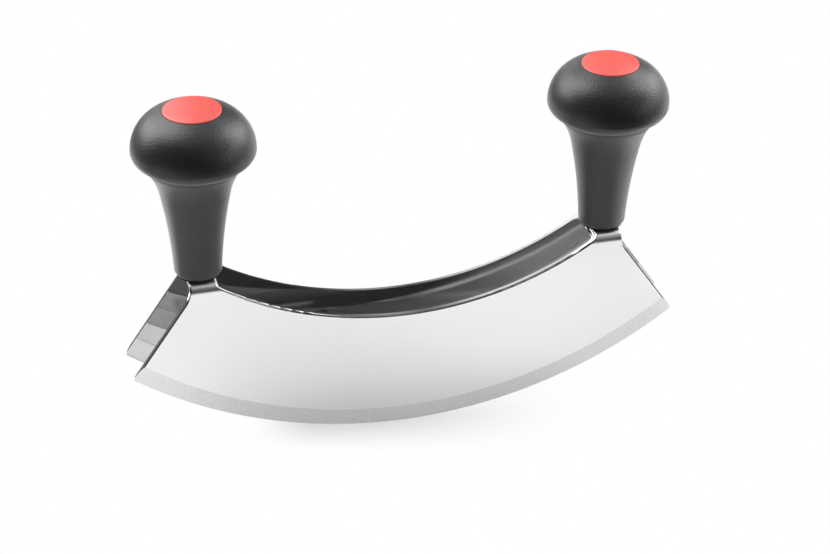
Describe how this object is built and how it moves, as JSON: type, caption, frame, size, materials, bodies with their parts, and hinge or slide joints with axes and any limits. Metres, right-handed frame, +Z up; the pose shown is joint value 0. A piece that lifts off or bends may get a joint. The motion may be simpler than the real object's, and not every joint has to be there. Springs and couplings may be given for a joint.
{
  "type": "mezzaluna",
  "caption": "Rocking herb chopper: crescent blades folded from one steel sheet, joined by end bridges that carry upright mushroom palm grips with inset caps.",
  "frame": {"origin": "lowest point of the cutting edges, at mid length and midway between the two blades", "axes": "+X along the blades, +Y from the front blade to the rear blade, +Z up through the grips"},
  "size_m": [0.2288, 0.0494, 0.1542],
  "materials": {
    "blade_steel": "fine satin faces, mirror-like edges, cross-ground bevels",
    "grip_black": "moulded black polypropylene with a fine matte texture",
    "cap_red": "moulded red plastic, soft sheen",
    "spacer_rubber": "matte black rubber",
    "fastener_steel": "plain stainless steel"
  },
  "bodies": {
    "root": {"blade_body": "blade_steel", "left_grip": "grip_black", "left_cap": "cap_red", "left_spacer": "spacer_rubber", "left_bolt": "fastener_steel", "left_bridge_washer": "fastener_steel", "left_well_washer": "fastener_steel", "left_nut": "fastener_steel", "right_grip": "grip_black", "right_cap": "cap_red", "right_spacer": "spacer_rubber", "right_bolt": "fastener_steel", "right_bridge_washer": "fastener_steel", "right_well_washer": "fastener_steel", "right_nut": "fastener_steel"}
  },
  "joints": []
}
